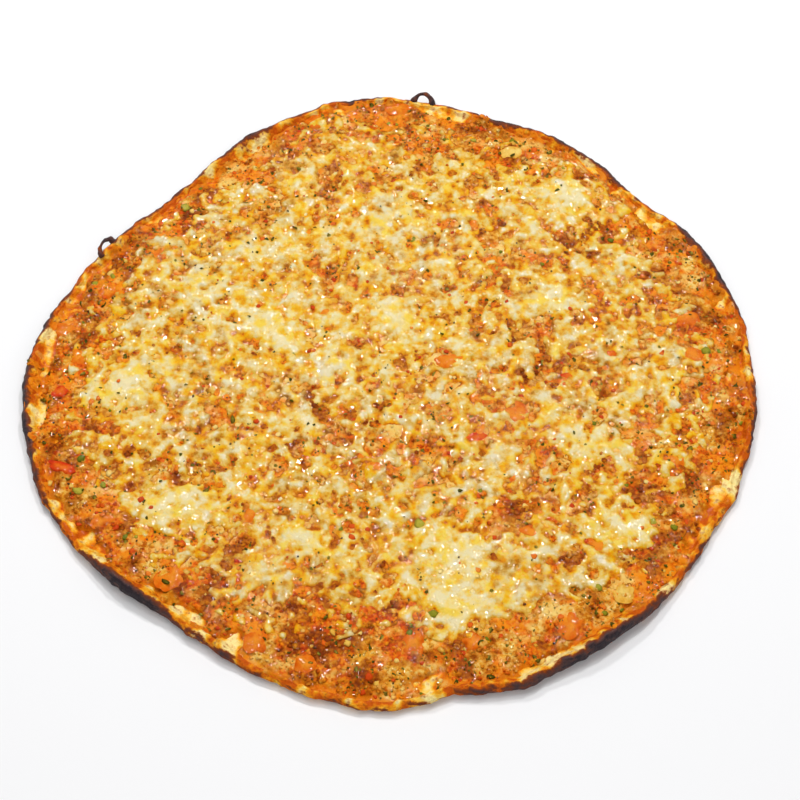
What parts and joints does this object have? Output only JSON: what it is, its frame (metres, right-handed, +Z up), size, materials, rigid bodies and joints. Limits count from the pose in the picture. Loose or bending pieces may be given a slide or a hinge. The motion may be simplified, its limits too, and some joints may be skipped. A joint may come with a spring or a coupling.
{
  "type": "lahmacun",
  "caption": "Round thin flatbread with a charred, blistered rim, a spiced minced-meat and vegetable topping, and patchy melted cheese.",
  "frame": {"origin": "on the flat underside, at the middle of the outline's bounding box", "axes": "+Z up out of the topping; -Y is the side nearest the viewer, +X the viewer's right"},
  "size_m": [0.2997, 0.2994, 0.0092],
  "materials": {
    "bread": "baked dough, golden with blue-black char at the rim",
    "mince": "oily minced meat in tomato sauce with parsley",
    "cheese": "melted, oily, cream to yellow",
    "tomato": "cooked, wet",
    "red_pepper": "cooked, wet",
    "onion": "cooked, translucent"
  },
  "bodies": {
    "root": {"flatbread": "bread", "melted_cheese": "cheese", "mince_topping": "mince", "onion_01": "onion", "onion_02": "onion", "onion_03": "onion", "onion_04": "onion", "red_pepper_01": "red_pepper", "red_pepper_02": "red_pepper", "red_pepper_03": "red_pepper", "red_pepper_04": "red_pepper", "red_pepper_05": "red_pepper", "tomato_01": "tomato", "tomato_02": "tomato", "tomato_03": "tomato", "tomato_04": "tomato", "tomato_05": "tomato", "tomato_06": "tomato", "tomato_07": "tomato", "tomato_08": "tomato", "tomato_09": "tomato", "tomato_10": "tomato", "tomato_11": "tomato", "tomato_12": "tomato", "tomato_13": "tomato", "tomato_14": "tomato", "tomato_15": "tomato", "tomato_16": "tomato", "tomato_17": "tomato", "tomato_18": "tomato", "tomato_19": "tomato", "tomato_20": "tomato", "tomato_21": "tomato", "tomato_22": "tomato"}
  },
  "joints": []
}
